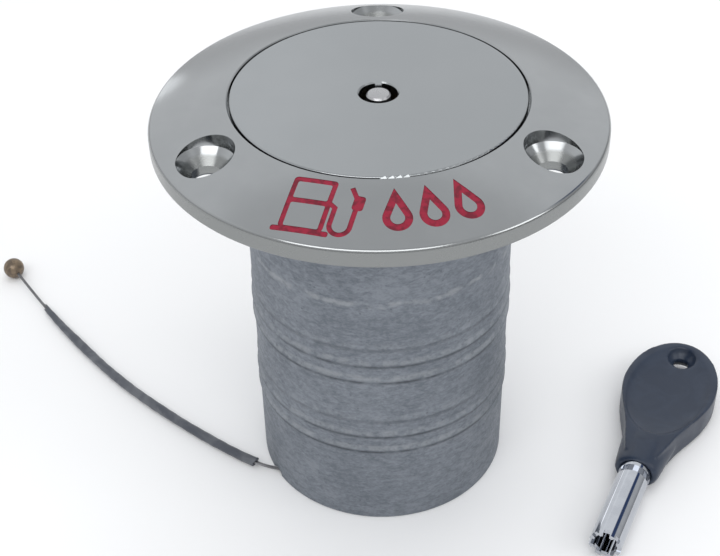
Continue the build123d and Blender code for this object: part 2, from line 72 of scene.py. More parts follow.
# ---- shader canvas
class Canvas:
    """Places and joins the nodes of one material, world or node group."""

    def __init__(self, tree: bpy.types.NodeTree) -> None:
        """Wraps a node tree.

        Args:
            tree: The tree that nodes are added to.
        """
        self.tree = tree

    def feed(self, socket: Socket, value: object) -> None:
        """Links a socket to another one, or sets its plain value.

        Args:
            socket: The input that takes the value.
            value: An output socket, a number or a tuple.
        """
        if isinstance(value, Socket):
            self.tree.links.new(value, socket)
        else:
            socket.default_value = value

    def add(self, kind: str, inputs: dict | None = None, **settings: object) -> bpy.types.Node:
        """Adds a node.

        Args:
            kind: The node's type name, without its ShaderNode prefix.
            inputs: What feeds its inputs, by name or index.
            settings: Values of the node's own settings.

        Returns:
            The new node.
        """
        node = self.tree.nodes.new(f"ShaderNode{kind}")
        for name, value in settings.items():
            setattr(node, name, value)
        for name, value in (inputs or {}).items():
            self.feed(node.inputs[name], value)
        return node

    def calc(self, operation: str, *values: object) -> Socket:
        """Adds a Math node.

        Args:
            operation: The operation's name.
            values: The operands, as sockets or numbers.

        Returns:
            The result's socket.
        """
        return self.add("Math", dict(enumerate(values)), operation=operation).outputs[0]

    def span(self, value: object, low: float, high: float, start: float = 0.0, end: float = 1.0,
             kind: str = "SMOOTHSTEP") -> Socket:
        """Maps a value from one range to another, held at its ends.

        Args:
            value: The value to map.
            low: The value that gives start.
            high: The value that gives end.
            start: Result at low.
            end: Result at high.
            kind: How the change runs between them.

        Returns:
            The result's socket.
        """
        inputs = {"Value": value, "From Min": low, "From Max": high, "To Min": start, "To Max": end}
        return self.add("MapRange", inputs, interpolation_type=kind).outputs[0]

    def blend(self, share: object, first: object, second: object) -> Socket:
        """Mixes two colours.

        Args:
            share: How much of the second colour shows.
            first: Colour or socket.
            second: Colour or socket.

        Returns:
            The mixed colour's socket.
        """
        node = self.add("Mix", data_type="RGBA")
        for index, value in ((0, share), (6, first), (7, second)):
            self.feed(node.inputs[index], value)
        return node.outputs[2]

    def between(self, share: object, first: object, second: object) -> Socket:
        """Mixes two numbers, as blend does with colours."""
        return self.add("Mix", {0: share, 2: first, 3: second}, data_type="FLOAT").outputs[0]

    def place(self) -> Socket:
        """Returns the object's own coordinates in millimetres."""
        source = self.add("TexCoord").outputs["Object"]
        return self.add("Mapping", {"Vector": source, "Scale": (1 / MM, 1 / MM, 1 / MM)}).outputs[0]

    def axes(self, vector: Socket) -> bpy.types.NodeOutputs:
        """Returns the X, Y and Z of a vector."""
        return self.add("SeparateXYZ", {0: vector}).outputs

    def noise(self, scale: float, detail: float = 3.0, rough: float = 0.5,
              vector: Socket | None = None, warp: float = 0.0) -> Socket:
        """Adds a noise pattern.

        Args:
            scale: Features per millimetre, roughly.
            detail: Number of finer layers.
            rough: Strength of the finer layers.
            vector: Coordinates, the object's own by default.
            warp: Distortion of the pattern.

        Returns:
            The socket of the noise value.
        """
        inputs = {"Vector": vector or self.place(), "Scale": scale, "Detail": detail}
        inputs |= {"Roughness": rough, "Distortion": warp}
        return self.add("TexNoise", inputs).outputs["Fac"]

    def paint(self, shader: Shader, colour: object, roughness: object, metallic: object = 0.0) -> None:
        """Feeds a Principled shader.

        Args:
            shader: The Principled shader.
            colour: Its base colour, as a socket or a tuple.
            roughness: Its roughness, as a socket or a number.
            metallic: Its share of metal, as a socket or a number.
        """
        for name, value in (("Base Color", colour), ("Roughness", roughness), ("Metallic", metallic)):
            self.feed(shader.inputs[name], value)

    def bump(self, shader: Shader, height: object, depth: float) -> None:
        """Feeds a height to a shader's normal.

        Args:
            shader: The Principled shader.
            height: Socket of the height, from 0 to 1.
            depth: What a height of 1 stands for, in millimetres.
        """
        node = self.add("Bump", {"Height": height, "Distance": depth * MM})
        self.feed(shader.inputs["Normal"], node.outputs[0])


@dataclass
class EffectGroup:
    """One node group while it is built."""

    name: str
    numbers: dict[str, float]
    results: tuple[str, ...]

    def __post_init__(self) -> None:
        """Makes the group with its inputs and outputs."""
        self.tree = bpy.data.node_groups.new(self.name, "ShaderNodeTree")
        for label, value in self.numbers.items():
            socket = self.tree.interface.new_socket(label, in_out="INPUT", socket_type="NodeSocketFloat")
            socket.default_value = value
        for label in self.results:
            self.tree.interface.new_socket(label, in_out="OUTPUT", socket_type="NodeSocketFloat")
        self.canvas = Canvas(self.tree)
        self.start = self.tree.nodes.new("NodeGroupInput").outputs
        self.end = self.tree.nodes.new("NodeGroupOutput").inputs


class Effects:
    """Surface effects that several finishes share, each a node group built once."""

    def __init__(self) -> None:
        """Builds every effect."""
        self.turning = self._turning()
        self.cast_skin = self._cast_skin()
        self.handling = self._handling()
        self.hairlines = self._hairlines()
        self.ring_line = self._ring_line()

    @staticmethod
    def _turning() -> bpy.types.NodeTree:
        """Fine rings about the Z axis that a lathe or a polishing wheel leaves."""
        group = EffectGroup("turning_lines", {"Rings": 4.0, "Waver": 0.05}, ("Lines",))
        canvas = group.canvas
        x, y, _ = canvas.axes(canvas.place())
        squares = canvas.calc("ADD", canvas.calc("MULTIPLY", x, x), canvas.calc("MULTIPLY", y, y))
        waver = canvas.calc("MULTIPLY", canvas.noise(0.12, 2.0), group.start["Waver"])
        place = canvas.calc("ADD", canvas.calc("SQRT", squares), waver)
        place = canvas.calc("MULTIPLY", place, group.start["Rings"])
        rings = canvas.add("TexNoise", {"W": place, "Detail": 3.0, "Roughness": 0.65}, noise_dimensions="1D")
        canvas.feed(group.end["Lines"], rings.outputs["Fac"])
        return group.tree

    @staticmethod
    def _cast_skin() -> bpy.types.NodeTree:
        """Lumps, pits and mottled tone of an investment casting's skin."""
        group = EffectGroup("cast_skin", {"Grain": 1.0, "Pits": 1.0}, ("Height", "Tone"))
        canvas = group.canvas
        flat = canvas.add("Mapping", {"Vector": canvas.place(), "Scale": (1.0, 1.0, 2.0)}).outputs[0]
        lumps = canvas.noise(0.3, 3.0, 0.55, flat, warp=0.4)
        grain = canvas.noise(1.3, 4.0, 0.7, flat)
        cells = canvas.add("TexVoronoi", {"Vector": canvas.place(), "Scale": 0.8, "Randomness": 1.0})
        pits = canvas.span(cells.outputs["Distance"], 0.05, 0.24, 1.0, 0.0)
        rare = canvas.span(canvas.noise(0.45, 1.0), 0.52, 0.64)
        pitting = canvas.calc("MULTIPLY", canvas.calc("MULTIPLY", pits, rare), group.start["Pits"])
        height = canvas.calc("MULTIPLY_ADD", grain, group.start["Grain"], canvas.calc("MULTIPLY", lumps, 1.5))
        canvas.feed(group.end["Height"], canvas.calc("SUBTRACT", height, pitting))
        mottle = canvas.noise(0.45, 3.0, 0.6, flat, warp=0.6)
        clouds = canvas.noise(0.09, 2.0, 0.5)
        tone = canvas.calc("MULTIPLY_ADD", grain, 0.4, canvas.calc("MULTIPLY", mottle, 0.4))
        tone = canvas.calc("MULTIPLY_ADD", clouds, 0.2, tone)
        canvas.feed(group.end["Tone"], canvas.calc("MULTIPLY_ADD", pitting, -0.12, tone))
        return group.tree

    @staticmethod
    def _handling() -> bpy.types.NodeTree:
        """Soft smudges that handling leaves on a surface."""
        group = EffectGroup("handling_marks", {"Size": 0.12}, ("Smudge",))
        canvas = group.canvas
        inputs = {"Vector": canvas.place(), "Scale": group.start["Size"], "Detail": 4.0, "Roughness": 0.6}
        noise = canvas.add("TexNoise", inputs)
        canvas.feed(group.end["Smudge"], canvas.span(noise.outputs["Fac"], 0.3, 0.7))
        return group.tree

    @staticmethod
    def _hairlines() -> bpy.types.NodeTree:
        """Fine, sparse scratches in three directions across the top."""
        group = EffectGroup("hairlines", {"Density": 1.0}, ("Scratch",))
        canvas = group.canvas
        joint = 0.0
        for turn, stretch in ((0.5, (0.05, 6.0, 1.0)), (2.1, (0.07, 5.0, 1.0)), (1.2, (0.1, 7.5, 1.0))):
            inputs = {"Vector": canvas.place(), "Rotation": (0, 0, turn), "Scale": stretch}
            lines = canvas.noise(1.0, 2.0, 0.5, canvas.add("Mapping", inputs).outputs[0])
            joint = canvas.calc("MAXIMUM", canvas.span(lines, 0.70, 0.75), joint)
        canvas.feed(group.end["Scratch"], canvas.calc("MULTIPLY", joint, group.start["Density"]))
        return group.tree

    @staticmethod
    def _ring_line() -> bpy.types.NodeTree:
        """Mask of a level line round the piece: grime with painted shade under a raised ring, a painted
        highlight above it, or a casting's witness line.
        """
        numbers = {"Height": 0.0, "Level": 0.0, "Half width": 0.3, "Strength": 1.0}
        group = EffectGroup("ring_line", numbers, ("Mask",))
        canvas = group.canvas
        away = canvas.calc("ABSOLUTE", canvas.calc("SUBTRACT", group.start["Height"], group.start["Level"]))
        share = canvas.calc("DIVIDE", away, group.start["Half width"])
        mask = canvas.calc("MULTIPLY", canvas.span(share, 0.2, 1.0, 1.0, 0.0), group.start["Strength"])
        canvas.feed(group.end["Mask"], mask)
        return group.tree


def use(canvas: Canvas, group: bpy.types.NodeTree, **values: object) -> bpy.types.NodeOutputs:
    """Places a node group in a material.

    Args:
        canvas: Canvas of the material.
        group: The group to place.
        values: What feeds its inputs, by name, with _ for a space.

    Returns:
        The outputs of the placed group.
    """
    node = canvas.add("Group", node_tree=group)
    for name, value in values.items():
        canvas.feed(node.inputs[name.replace("_", " ")], value)
    return node.outputs


def new_material(name: str) -> tuple[bpy.types.Material, Canvas, bpy.types.Node]:
    """Starts a material.

    Args:
        name: The material's name.

    Returns:
        The material, a canvas on its nodes and its Principled shader.
    """
    material = bpy.data.materials.new(name)
    material.use_nodes = True
    return material, Canvas(material.node_tree), material.node_tree.nodes["Principled BSDF"]


# ---- finishes
class Recipe:
    """How the material of a finish is made."""

    def make(self, effects: Effects) -> bpy.types.Material:
        """Builds the material.

        Args:
            effects: The shared effects.

        Returns:
            The finished material.
        """
        raise NotImplementedError


@dataclass(frozen=True)
class CastStainless(Recipe):
    """Stainless casting: as cast on the neck and in the bore, polished above the flange's underside."""

    bright: tuple = (0.372, 0.384, 0.392, 1)
    dull: tuple = (0.352, 0.364, 0.372, 1)
    # Painted shade: the flange's side band below the rim is darker than its top.
    shaded_rim_side: tuple = (0.262, 0.270, 0.268, 1)
    rim_shade_levels: tuple = (2.9, 3.6)
    polish_levels: tuple = (0.02, 0.3)
    skin_light: tuple = (0.240, 0.262, 0.294, 1)
    skin_dark: tuple = (0.158, 0.177, 0.205, 1)
    # Dark line under each raised ring: grime in the corner, with painted shade where the ridge overhangs.
    grime_and_shade: tuple = (0.052, 0.058, 0.068, 1)
    # Painted highlight: the lit upper face of each raised ring. The casting's witness line takes the same
    # lighter colour.
    ring_highlight: tuple = (0.350, 0.368, 0.385, 1)
    band_tops: tuple = (-32.1, -50.5)
    ring_pitch: float = 4.0
    # Strength of each ring's painted shade and painted highlight in a band, from the top ring down.
    ring_shade_and_highlight: tuple = (0.4, 0.85, 1.0)
    # How far below each ring its grime and painted shade sit, and how wide they are.
    grime_and_shade_drop: float = 0.3
    grime_and_shade_reach: float = 0.75
    # How far above each ring its painted highlight sits, how wide it is and how strong.
    highlight_rise: float = 0.8
    highlight_reach: float = 0.9
    highlight_share: float = 0.8
    witness_level: float = -19.9
    witness_reach: float = 0.8
    relief: float = 0.06

    def ring_masks(self, canvas: Canvas, effects: Effects, height: Socket) -> tuple:
        """Finds the grime and painted shade under each raised ring and the painted highlight band above it.

        Args:
            canvas: Canvas of the material.
            effects: The shared effects.
            height: Height on the neck, in millimetres.

        Returns:
            The sockets of the mask of grime and painted shade and of the painted highlight band's mask.
        """
        grime_and_shade, ring_highlight = 0.0, 0.0
        for top in self.band_tops:
            for index, strength in enumerate(self.ring_shade_and_highlight):
                level = top - index * self.ring_pitch
                line = use(canvas, effects.ring_line, Height=height, Half_width=self.grime_and_shade_reach,
                           Level=level - self.grime_and_shade_drop, Strength=strength)
                grime_and_shade = canvas.calc("MAXIMUM", line["Mask"], grime_and_shade)
                band = use(canvas, effects.ring_line, Height=height, Half_width=self.highlight_reach,
                           Level=level + self.highlight_rise, Strength=strength * self.highlight_share)
                ring_highlight = canvas.calc("MAXIMUM", band["Mask"], ring_highlight)
        # Noise breaks up the line of grime and painted shade.
        broken = canvas.span(canvas.noise(0.16, 3.0, 0.6), 0.36, 0.56, 0.35, 1.0)
        # Noise breaks up the painted highlight band above each ring.
        worn = canvas.span(canvas.noise(0.5, 3.0, 0.6), 0.4, 0.58, 0.15, 1.0)
        return canvas.calc("MULTIPLY", grime_and_shade, broken), canvas.calc("MULTIPLY", ring_highlight, worn)

    def make(self, effects: Effects) -> bpy.types.Material:
        """Builds the material.

        Args:
            effects: The shared effects.

        Returns:
            The finished material.
        """
        material, canvas, shader = new_material("cast_stainless")
        height = canvas.axes(canvas.place())[2]
        polished = canvas.span(height, *self.polish_levels)
        upper = canvas.span(height, *self.rim_shade_levels)
        skin = use(canvas, effects.cast_skin, Grain=1.0, Pits=1.2)
        grime_and_shade, ring_highlight = self.ring_masks(canvas, effects, height)
        wander = canvas.calc("MULTIPLY_ADD", canvas.noise(0.22, 4.0, 0.65), 3.2, height)
        witness = use(canvas, effects.ring_line, Height=wander, Level=self.witness_level,
                      Half_width=self.witness_reach, Strength=1.0)["Mask"]
        patchy = canvas.span(canvas.noise(0.3, 3.0), 0.38, 0.58)
        # Painted highlight above the rings, joined with the casting's witness line.
        highlight_and_witness = canvas.calc("MAXIMUM", ring_highlight, canvas.calc("MULTIPLY", witness, patchy))
        tone = canvas.span(skin["Tone"], 0.40, 0.60, kind="LINEAR")
        dark = canvas.blend(tone, self.skin_dark, self.skin_light)
        # Painted highlight above each raised ring, and the witness line, both lighter than the skin.
        dark = canvas.blend(canvas.calc("MULTIPLY", highlight_and_witness, 0.6), dark, self.ring_highlight)
        # Grime and painted shade: a dark line under each raised ring.
        dark = canvas.blend(canvas.calc("MULTIPLY", grime_and_shade, 0.75), dark, self.grime_and_shade)
        smudge = use(canvas, effects.handling, Size=0.1)["Smudge"]
        scratch = use(canvas, effects.hairlines, Density=0.5)["Scratch"]
        rings = use(canvas, effects.turning, Rings=5.0, Waver=0.1)["Lines"]
        # Painted shade on the flange's side band below the rim; that band is also left rougher.
        bright = canvas.blend(upper, self.shaded_rim_side, canvas.blend(smudge, self.bright, self.dull))
        shine = canvas.calc("MULTIPLY_ADD", scratch, 0.08, canvas.span(smudge, 0, 1, 0.12, 0.15))
        shine = canvas.calc("ADD", shine, canvas.span(upper, 0, 1, 0.14, 0.0))
        skin_rough = canvas.span(skin["Tone"], 0.4, 0.6, 0.62, 0.52)
        rough = canvas.between(polished, skin_rough, shine)
        metal = canvas.span(polished, 0, 1, 0.7, 1.0)
        canvas.paint(shader, canvas.blend(polished, dark, bright), rough, metal)
        fine = canvas.calc("MULTIPLY", canvas.calc("MULTIPLY_ADD", scratch, -0.6, rings), 0.005)
        relief = canvas.calc("MULTIPLY_ADD", highlight_and_witness, 0.4, skin["Height"])
        canvas.bump(shader, canvas.between(polished, relief, fine), self.relief)
        return material


@dataclass(frozen=True)
class PolishedLid(Recipe):
    """Polished stainless with the fine rings of the wheel that faced it."""

    colour: tuple = (0.352, 0.366, 0.376, 1)
    dull: tuple = (0.336, 0.352, 0.362, 1)

    def make(self, effects: Effects) -> bpy.types.Material:
        """Builds the material.

        Args:
            effects: The shared effects.

        Returns:
            The finished material.
        """
        material, canvas, shader = new_material("polished_lid")
        rings = use(canvas, effects.turning, Rings=9.0, Waver=0.05)["Lines"]
        broad = use(canvas, effects.turning, Rings=0.55, Waver=1.2)["Lines"]
        smudge = use(canvas, effects.handling, Size=0.06)["Smudge"]
        scratch = use(canvas, effects.hairlines, Density=0.5)["Scratch"]
        tone = canvas.calc("MULTIPLY_ADD", broad, 0.5, canvas.calc("MULTIPLY", smudge, 0.5))
        spread = canvas.span(smudge, 0, 1, 0.15, 0.19)
        rough = canvas.calc("ADD", spread, canvas.span(rings, 0.3, 0.7, 0.0, 0.05))
        rough = canvas.calc("MULTIPLY_ADD", scratch, 0.07, rough)
        canvas.paint(shader, canvas.blend(tone, self.colour, self.dull), rough, 1.0)
        canvas.bump(shader, canvas.calc("MULTIPLY_ADD", scratch, -0.6, rings), 0.0009)
        return material


@dataclass(frozen=True)
class TurnedMetal(Recipe):
    """Machined metal part with turning lines and patchy shine."""

    name: str
    colour: tuple
    shade: tuple
    roughness: float = 0.3
    rings: float = 5.0
    depth: float = 0.006

    def make(self, effects: Effects) -> bpy.types.Material:
        """Builds the material.

        Args:
            effects: The shared effects.

        Returns:
            The finished material.
        """
        material, canvas, shader = new_material(self.name)
        lines = use(canvas, effects.turning, Rings=self.rings, Waver=0.1)["Lines"]
        smudge = use(canvas, effects.handling, Size=0.25)["Smudge"]
        spread = canvas.span(smudge, 0, 1, self.roughness - 0.05, self.roughness + 0.1)
        rough = canvas.calc("ADD", spread, canvas.span(lines, 0.3, 0.7, 0, 0.08))
        canvas.paint(shader, canvas.blend(smudge, self.colour, self.shade), rough, 1.0)
        canvas.bump(shader, lines, self.depth)
        return material


@dataclass(frozen=True)
class FilledEnamel(Recipe):
    """Crimson enamel wiped into the engraving, a little uneven in its fill."""

    colour: tuple = (0.275, 0.008, 0.032, 1)
    thin: tuple = (0.150, 0.006, 0.020, 1)

    def make(self, effects: Effects) -> bpy.types.Material:
        """Builds the material.

        Args:
            effects: The shared effects.

        Returns:
            The finished material.
        """
        material, canvas, shader = new_material("red_enamel")
        fill = canvas.noise(0.7, 3.0, 0.55)
        smudge = use(canvas, effects.handling, Size=0.3)["Smudge"]
        colour = canvas.blend(canvas.span(fill, 0.38, 0.56), self.thin, self.colour)
        canvas.paint(shader, colour, canvas.span(smudge, 0, 1, 0.34, 0.5))
        shader.inputs["Specular IOR Level"].default_value = 0.3
        canvas.bump(shader, canvas.noise(1.1, 2.0), 0.06)
        return material


@dataclass(frozen=True)
class MouldedPlastic(Recipe):
    """Moulded polymer with a fine spark texture and slightly worn tone."""

    name: str
    colour: tuple
    worn: tuple
    roughness: float = 0.42
    grain: float = 4.0
    depth: float = 0.012

    def make(self, effects: Effects) -> bpy.types.Material:
        """Builds the material.

        Args:
            effects: The shared effects.

        Returns:
            The finished material.
        """
        material, canvas, shader = new_material(self.name)
        grain = canvas.noise(self.grain, 3.0, 0.7)
        flow = canvas.noise(0.16, 3.0, 0.5, warp=1.2)
        smudge = use(canvas, effects.handling, Size=0.16)["Smudge"]
        colour = canvas.blend(canvas.span(flow, 0.4, 0.65), self.colour, self.worn)
        spread = canvas.span(smudge, 0, 1, self.roughness - 0.06, self.roughness + 0.05)
        canvas.paint(shader, colour, canvas.calc("MULTIPLY_ADD", grain, 0.06, spread))
        shader.inputs["Specular IOR Level"].default_value = 0.45
        canvas.bump(shader, grain, self.depth)
        return material


@dataclass(frozen=True)
class BrightChrome(Recipe):
    """Plated tube with faint tarnish."""

    colour: tuple = (0.52, 0.54, 0.58, 1)
    haze: tuple = (0.47, 0.49, 0.53, 1)

    def make(self, effects: Effects) -> bpy.types.Material:
        """Builds the material.

        Args:
            effects: The shared effects.

        Returns:
            The finished material.
        """
        material, canvas, shader = new_material("key_chrome")
        smudge = use(canvas, effects.handling, Size=0.3)["Smudge"]
        colour = canvas.blend(smudge, self.colour, self.haze)
        canvas.paint(shader, colour, canvas.span(smudge, 0, 1, 0.05, 0.09), 1.0)
        canvas.bump(shader, canvas.noise(2.5, 2.0), 0.0006)
        return material


@dataclass(frozen=True)
class TarnishedBall(Recipe):
    """Bronze ball browned by fuel and sea air, brighter where it rubs."""

    bronze: tuple = (0.26, 0.20, 0.14, 1)
    brown: tuple = (0.13, 0.10, 0.075, 1)

    def make(self, effects: Effects) -> bpy.types.Material:
        """Builds the material.

        Args:
            effects: The shared effects.

        Returns:
            The finished material.
        """
        material, canvas, shader = new_material("tarnished_bronze")
        patches = canvas.noise(0.6, 4.0, 0.6, warp=0.5)
        smudge = use(canvas, effects.handling, Size=0.8)["Smudge"]
        colour = canvas.blend(canvas.span(patches, 0.38, 0.62), self.brown, self.bronze)
        rough = canvas.span(smudge, 0, 1, 0.32, 0.5)
        canvas.paint(shader, colour, rough, canvas.span(patches, 0.3, 0.7, 0.5, 0.9))
        canvas.bump(shader, canvas.noise(2.5, 3.0), 0.02)
        return material


class Finish(enum.Enum):
    """The finishes of the object's pieces, each with its material slot."""

    CASTING = "cast_stainless", CastStainless()
    LID = "polished_stainless", PolishedLid()
    ENAMEL = "red_enamel", FilledEnamel()
    STEEL = "sheet_steel", TurnedMetal("sheet_steel", (0.52, 0.52, 0.53, 1), (0.42, 0.42, 0.43, 1), 0.32, 3.0)
    ROTOR = "rotor_steel", TurnedMetal(
        "rotor_steel", (0.46, 0.46, 0.47, 1), (0.40, 0.40, 0.41, 1), 0.24, 6.0, 0.003)
    BRASS = "lock_brass", TurnedMetal("lock_brass", (0.66, 0.48, 0.22, 1), (0.5, 0.36, 0.18, 1), 0.3, 5.0)
    WIRE = "steel_wire", TurnedMetal(
        "steel_wire", (0.30, 0.30, 0.31, 1), (0.19, 0.19, 0.20, 1), 0.36, 8.0, 0.003)
    SLEEVE = "grey_vinyl", MouldedPlastic(
        "grey_vinyl", (0.062, 0.069, 0.086, 1), (0.118, 0.126, 0.142, 1), 0.36, 1.6, 0.035)
    BALL = "bronze", TarnishedBall()
    SEAL = "seal_rubber", MouldedPlastic(
        "seal_rubber", (0.014, 0.014, 0.015, 1), (0.024, 0.024, 0.025, 1), 0.5, 3.0, 0.02)
    KEY = "key_plastic", MouldedPlastic(
        "key_plastic", (0.017, 0.027, 0.050, 1), (0.022, 0.034, 0.060, 1), 0.36, 3.2, 0.006)
    CHROME = "key_chrome", BrightChrome()

    def __init__(self, slot: str, recipe: Recipe) -> None:
        """Keeps the finish's material slot and how it is made."""
        self.slot = slot
        self.recipe = recipe


@dataclass(frozen=True)
class Rounded:
    """A sheet or turned piece with broken edges: their width is in millimetres, and way says how."""

    node: str
    finish: Finish
    width: float
    way: str = "tumbled"


@dataclass
class Wardrobe:
    """Builds each finish once and dresses pieces in it."""

    effects: Effects = field(default_factory=Effects)
    made: dict = field(default_factory=dict)

    def dress(self, piece: Piece, finish: Finish) -> None:
        """Gives a piece its finish.

        Args:
            piece: The piece, a mesh object.
            finish: The finish it takes.
        """
        if finish not in self.made:
            self.made[finish] = finish.recipe.make(self.effects)
        piece.data.materials.clear()
        piece.data.materials.append(self.made[finish])

    def finish_nodes(self, body: str, finishes: dict[str, Finish], rounded: tuple[Rounded, ...] = ()) -> None:
        """Puts dressed copies in the place of CAD nodes, some shaded smooth and some with rounded edges.

        Args:
            body: The body that they ride on.
            finishes: The finish of each node that is shaded smooth, by the node's name.
            rounded: The nodes whose edges are rounded.
        """
        for node, finish in finishes.items():
            self.hand_over(smoothed(node), finish, body, node)
        for part in rounded:
            piece = broken_edges(part.node, f"{part.node}_{part.way}", part.width)
            self.hand_over(piece, part.finish, body, part.node)

    def hand_over(self, piece: Piece, finish: Finish, body: str, node: str) -> None:
        """Dresses a new piece and puts it in the place of a CAD node.

        Args:
            piece: The new piece.
            finish: The finish it takes.
            body: The body it rides on.
            node: The CAD node it stands for.
        """
        self.dress(piece, finish)
        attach(piece, body)
        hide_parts(node)
        log.info("piece %s stands for %s, %d faces", piece.name, node, len(piece.data.polygons))


# ---- modelling helpers
def only(piece: Piece) -> None:
    """Selects one object and nothing else, and makes it active."""
    bpy.ops.object.select_all(action="DESELECT")
    piece.select_set(True)
    bpy.context.view_layer.objects.active = piece


@contextlib.contextmanager
def edit_mode(select: str = "SELECT") -> Iterator[None]:
    """Opens the active mesh in edit mode for a while.

    Args:
        select: What becomes of its selection first, SELECT for all of it or DESELECT for none.
    """
    bpy.ops.object.mode_set(mode="EDIT")
    bpy.ops.mesh.select_all(action=select)
    yield
    bpy.ops.object.mode_set(mode="OBJECT")


def copy_of(node: str, name: str) -> Piece:
    """Copies a CAD node's mesh into a new object with its doubled vertices merged.

    Args:
        node: The CAD node.
        name: Name of the copy.

    Returns:
        The copy, standing in the same place.
    """
    piece = bpy.data.objects.new(name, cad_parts[node].data.copy())
    bpy.context.scene.collection.objects.link(piece)
    only(piece)
    with edit_mode():
        bpy.ops.mesh.customdata_custom_splitnormals_clear()
        bpy.ops.mesh.remove_doubles(threshold=MERGE_GAP)
    return piece


def apply_modifier(piece: Piece, kind: str, **settings: object) -> None:
    """Adds a modifier to a piece and applies it.

    Args:
        piece: The piece to change.
        kind: The modifier's type.
        settings: Values of the modifier's settings.
    """
    only(piece)
    modifier = piece.modifiers.new(kind.lower(), kind)
    for name, value in settings.items():
        setattr(modifier, name, value)
    bpy.ops.object.modifier_apply(modifier=modifier.name)


def broken_edges(node: str, name: str, width: float) -> Piece:
    """Copies a CAD node and rounds its sharp edges, as a file or a tumbler does.

    Args:
        node: The CAD node.
        name: Name of the copy.
        width: Width of the rounding, in millimetres.

    Returns:
        The finished copy.
    """
    piece = copy_of(node, name)
    with edit_mode():
        bpy.ops.mesh.dissolve_limited(angle_limit=FLAT_ANGLE)
    apply_modifier(piece, "BEVEL", width=width * MM, segments=2, limit_method="ANGLE",
                   angle_limit=SHARP_ANGLE, use_clamp_overlap=True)
    bpy.ops.object.shade_smooth_by_angle(angle=ROUNDED_SMOOTH_ANGLE)
    return piece


def smoothed(node: str) -> Piece:
    """Copies a CAD node and shades its curved faces smooth, with its edges kept sharp.

    Args:
        node: The CAD node.

    Returns:
        The copy.
    """
    piece = copy_of(node, f"{node}_smooth")
    bpy.ops.object.shade_smooth_by_angle(angle=SMOOTH_ANGLE)
    apply_modifier(piece, "WEIGHTED_NORMAL", mode="FACE_AREA", keep_sharp=True, weight=WEIGHT_BY_AREA)
    return piece


def mesh_piece(name: str, points: list, faces: list) -> Piece:
    """Makes an object from points and faces, shaded smooth.

    Args:
        name: The object's name.
        points: Its vertices.
        faces: Its faces, as vertex numbers.

    Returns:
        The new object.
    """
    mesh = bpy.data.meshes.new(name)
    mesh.from_pydata([tuple(point) for point in points], [], faces)
    mesh.update()
    piece = bpy.data.objects.new(name, mesh)
    bpy.context.scene.collection.objects.link(piece)
    only(piece)
    bpy.ops.object.shade_smooth()
    return piece


# ---- leash
class Thread:
    """A smooth line that can be read at any distance along it, with directions across it."""

    def __init__(self, points: list[Vector]) -> None:
        """Measures the line and carries two directions along it without twist.

        Args:
            points: Points of the line, close together.
        """
        self.points = points
        self.reach = [0.0]
        for before, after in zip(points, points[1:]):
            self.reach.append(self.reach[-1] + (after - before).length)
        self.sides, self.tops = [], []
        side = Vector((1, 0, 0))
        for index in range(len(points)):
            ahead = self.heading(index)
            side = (side - ahead * side.dot(ahead)).normalized()
            self.sides.append(side)
            self.tops.append(ahead.cross(side))

    @property
    def length(self) -> float:
        """Length of the whole line."""
        return self.reach[-1]

    def heading(self, index: int) -> Vector:
        """Unit vector along the line at one of its points."""
        ahead = self.points[min(index + 1, len(self.points) - 1)] - self.points[max(index - 1, 0)]
        return ahead.normalized()

    def at(self, distance: float, angle: float = 0.0, radius: float = 0.0) -> Vector:
        """Finds a point beside the line.

        Args:
            distance: How far along the line.
            angle: The direction round the line.
            radius: How far from the line.

        Returns:
            The point.
        """
        distance = min(max(distance, 0.0), self.length)
        index = min(max(bisect.bisect_right(self.reach, distance) - 1, 0), len(self.points) - 2)
        share = (distance - self.reach[index]) / (self.reach[index + 1] - self.reach[index])
        centre = self.points[index].lerp(self.points[index + 1], share)
        side = self.sides[index].lerp(self.sides[index + 1], share)
        top = self.tops[index].lerp(self.tops[index + 1], share)
        return centre + (side * math.cos(angle) + top * math.sin(angle)) * radius

    def distance_where(self, axis: int, value: float) -> float:
        """Finds where one of the line's coordinates first falls to a value.

        Args:
            axis: Number of the coordinate.
            value: The value.

        Returns:
            The distance along the line.
        """
        for point, reach in zip(self.points, self.reach):
            if point[axis] <= value:
                return reach
        return self.length


